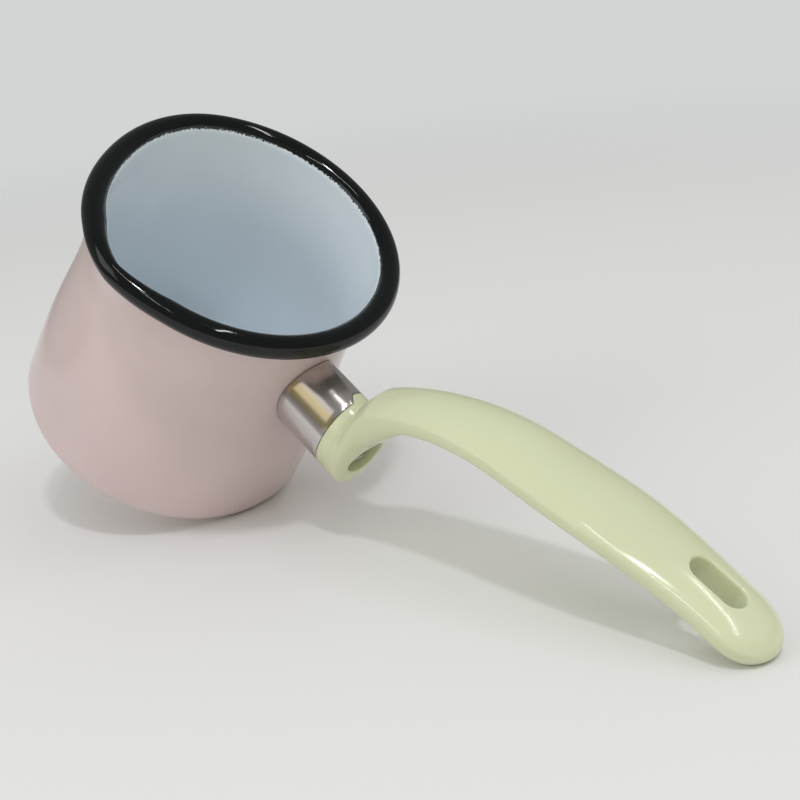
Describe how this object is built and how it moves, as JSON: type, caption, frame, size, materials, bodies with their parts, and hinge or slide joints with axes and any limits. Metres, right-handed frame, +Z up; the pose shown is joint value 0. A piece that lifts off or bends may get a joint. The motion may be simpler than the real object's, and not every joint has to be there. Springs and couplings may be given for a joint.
{
  "type": "cezve",
  "caption": "Small enamelled coffee pot: waisted steel body with rolled rim and side pouring lip, and a long arched moulded handle screwed on through a bright metal ferrule.",
  "frame": {"origin": "middle of the flat base, on the surface the pot stands on", "axes": "+Z up the pot's axis, +X out along the handle, the pouring lip towards -Y"},
  "size_m": [0.2018, 0.0852, 0.1075],
  "materials": {
    "steel": "bare sheet",
    "pink_enamel": "glossy",
    "white_enamel": "glossy",
    "black_enamel": "glossy",
    "bright_metal": "polished",
    "handle_plastic": "glossy"
  },
  "bodies": {
    "root": {"pot_shell": "steel", "outer_enamel": "pink_enamel", "inner_enamel": "white_enamel", "rim_enamel": "black_enamel", "handle_bracket": "steel", "bracket_nut": "steel", "ferrule": "bright_metal", "handle": "handle_plastic", "handle_screw": "bright_metal", "screw_washer": "bright_metal"}
  },
  "joints": []
}
